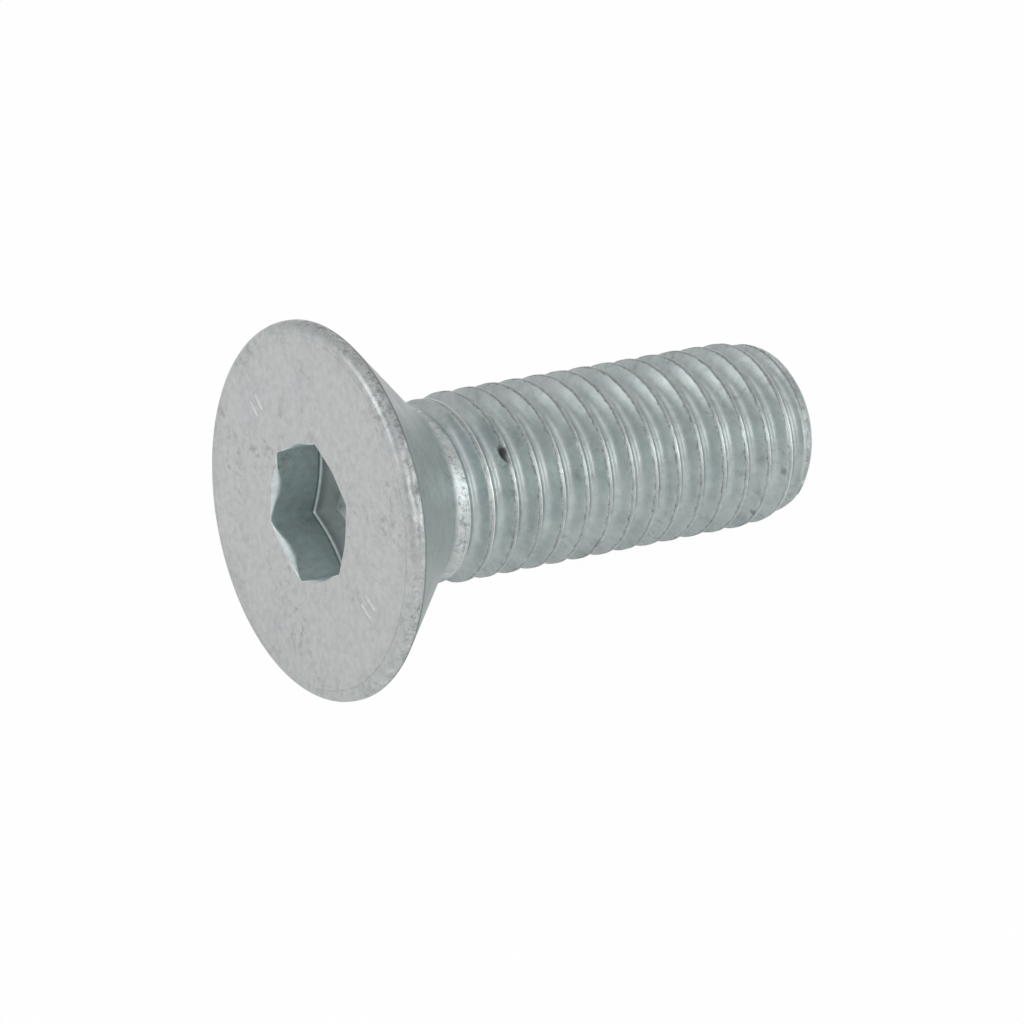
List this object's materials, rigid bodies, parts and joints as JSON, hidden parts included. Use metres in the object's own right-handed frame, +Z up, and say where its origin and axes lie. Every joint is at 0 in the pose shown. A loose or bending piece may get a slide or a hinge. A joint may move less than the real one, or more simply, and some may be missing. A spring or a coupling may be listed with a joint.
{
  "type": "countersunk socket screw",
  "caption": "Metric machine screw with a flat countersunk head, a hexagon socket, a coarse thread up to the head and a chamfered end, in zinc-plated steel.",
  "frame": {"origin": "centre of the screw's bounding box in plan, on the surface that it lies on", "axes": "+Z up; +X along the screw as it lies, from the head to the point; the screw's own axis lies in the XZ plane and slopes down about 10.5 degrees from the head to the point"},
  "size_m": [0.0374, 0.0234, 0.0232],
  "materials": {
    "zinc_plated_steel": "bright zinc plating with a clear bluish passivation over cold headed and rolled steel: satin on the head, brighter on the rolled thread"
  },
  "bodies": {
    "root": {"countersunk_screw": "zinc_plated_steel"}
  },
  "joints": []
}
